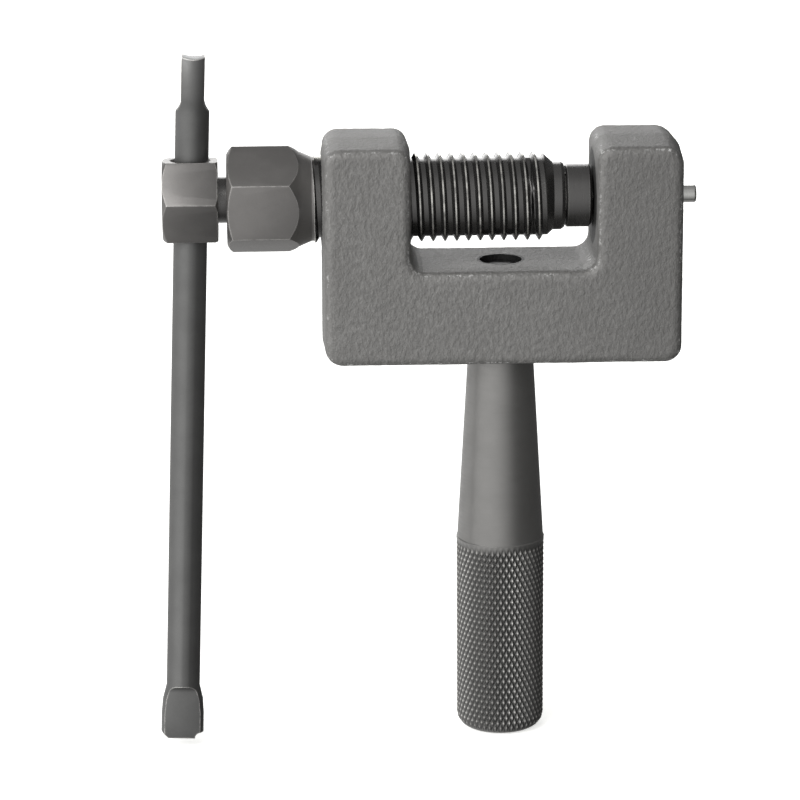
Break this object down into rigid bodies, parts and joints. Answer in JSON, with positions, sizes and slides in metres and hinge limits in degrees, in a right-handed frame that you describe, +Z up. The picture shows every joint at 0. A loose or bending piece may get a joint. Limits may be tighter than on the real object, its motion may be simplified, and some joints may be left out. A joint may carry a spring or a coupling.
{
  "type": "chain_breaker_tool",
  "caption": "Screw-type chain breaker: a grey steel U-shaped body on a knurled handle, a black pressure screw, a small driving pin and a sliding tommy bar",
  "frame": {"origin": "on the flat end of the handle, at its centre, with the tool standing upright on that end", "axes": "+Z runs up the handle to the body; +X runs along the screws from the tommy bar to the pin's tip; +Y points to the back of the body"},
  "size_m": [0.1177, 0.026, 0.152],
  "materials": {
    "rough_steel": "rough blasted casting, phosphated grey, slightly worn at the edges",
    "satin_steel": "satin, dull grey, lightly oiled",
    "blackened_steel": "black oxide, glossy with oil",
    "bright_steel": "ground bright",
    "spring_steel": "drawn wire, smooth"
  },
  "bodies": {
    "frame": {"u_body": "rough_steel", "handle": "satin_steel"},
    "nose": {"swivel_nose": "blackened_steel", "nose_snap_ring": "spring_steel"},
    "pressure_screw": {"pressure_screw": "blackened_steel", "return_spring": "spring_steel"},
    "push_pin": {"push_pin": "bright_steel"},
    "pin_screw": {"pin_screw": "satin_steel"},
    "tommy_bar": {"tommy_bar": "satin_steel"}
  },
  "joints": [
    {"name": "outer_feed", "type": "slide", "parent": "frame", "child": "nose", "axis": [1, 0, 0], "range_m": [-0.0254, 0]},
    {"name": "outer_turn", "type": "hinge", "parent": "nose", "child": "pressure_screw", "pos_m": [0, 0, 0.1206], "axis": [1, 0, 0], "range_deg": [-3600, 0]},
    {"name": "inner_feed", "type": "slide", "parent": "pressure_screw", "child": "push_pin", "axis": [1, 0, 0], "range_m": [-0.024, 0.0015], "deforming": ["return_spring"]},
    {"name": "inner_turn", "type": "hinge", "parent": "push_pin", "child": "pin_screw", "pos_m": [0, 0, 0.1206], "axis": [1, 0, 0], "range_deg": [-5760, 360]},
    {"name": "bar_slide", "type": "slide", "parent": "pin_screw", "child": "tommy_bar", "axis": [0.034, 0.0871, 0.9956], "range_m": [-0.011, 0.099]}
  ],
  "couplings": [
    {"joint": "outer_feed", "follows": "outer_turn", "m_per_rad": 0.00040425},
    {"joint": "inner_feed", "follows": "inner_turn", "m_per_rad": 0.00023873}
  ]
}
